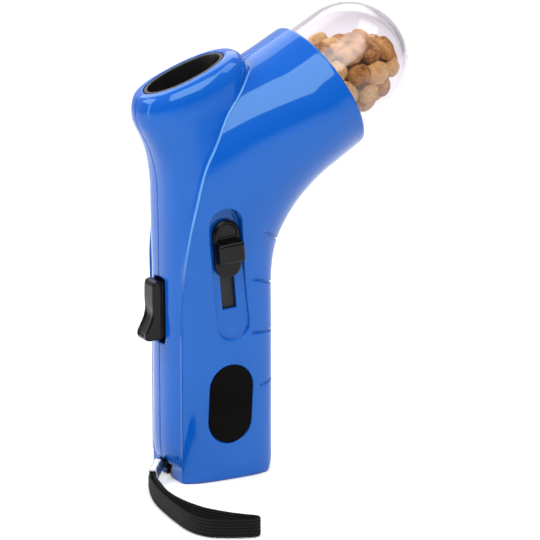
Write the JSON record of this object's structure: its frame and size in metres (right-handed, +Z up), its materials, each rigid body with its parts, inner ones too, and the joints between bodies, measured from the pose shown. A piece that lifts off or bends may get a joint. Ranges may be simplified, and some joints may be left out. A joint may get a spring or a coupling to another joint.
{
  "type": "hand-held treat launcher",
  "caption": "Hand-held spring treat launcher: moulded Y-shaped body with slanted oval muzzle, clear domed hopper, cocking slide, trigger and wrist strap.",
  "frame": {"origin": "middle of the handle's base, on the parting plane of the two shells", "axes": "+Z up along the handle, -X towards the muzzle and trigger, +Y towards the far (left) shell; the parting plane is Y = 0"},
  "size_m": [0.1352, 0.1162, 0.193],
  "materials": {
    "blue_shell": "glossy moulded",
    "black_gloss": "semi-gloss moulded",
    "black_inner": "satin moulded",
    "plate": "matt",
    "clear_dome": "clear polished",
    "kibble": "dry and rough",
    "steel": "bright drawn",
    "crimp_metal": "bright pressed",
    "rubber": "matt",
    "webbing": "woven"
  },
  "bodies": {
    "housing": {"right_shell": "blue_shell", "left_shell": "blue_shell", "muzzle_liner": "black_inner", "launch_tube": "black_inner", "spring_seat": "black_inner", "main_spring": "steel", "plunger_bumper": "rubber", "feed_chute": "black_inner", "hopper_ring": "black_inner", "dome_gasket": "rubber", "treats": "kibble", "trigger_pin": "steel", "trigger_spring": "steel", "sear_pin": "steel", "trigger_bracket": "black_inner", "side_plate": "plate", "shell_screws": "steel", "strap_anchor": "black_inner", "strap_bar": "steel", "strap_cord": "webbing", "strap_crimp": "crimp_metal", "strap_webbing": "webbing"},
    "slide": {"plunger": "black_inner", "cocking_knob": "black_gloss", "slide_shutter": "black_inner"},
    "trigger": {"trigger": "black_gloss"},
    "sear": {"sear": "steel"},
    "dome": {"dome": "clear_dome"}
  },
  "joints": [
    {"name": "slide_travel", "type": "slide", "parent": "housing", "child": "slide", "axis": [0.0785, 0, -0.9969], "range_m": [0, 0.022], "stiffness_N_per_m": 150, "springref_m": -0.015, "deforming": ["main_spring"]},
    {"name": "trigger_pivot", "type": "hinge", "parent": "housing", "child": "trigger", "pos_m": [-0.0176, 0, 0.0815], "axis": [0, -1, 0], "range_deg": [0, 10], "stiffness_Nm_per_rad": 0.03, "springref_deg": -17.19},
    {"name": "sear_pivot", "type": "hinge", "parent": "housing", "child": "sear", "pos_m": [-0.0154, 0, 0.0666], "axis": [0, -1, 0], "range_deg": [0, 10]},
    {"name": "dome_twist", "type": "hinge", "parent": "housing", "child": "dome", "pos_m": [0.051, 0, 0.16], "axis": [0.866, 0, 0.5], "range_deg": [0, 60]}
  ],
  "couplings": [
    {"joint": "sear_pivot", "follows": "trigger_pivot", "ratio": 1}
  ]
}
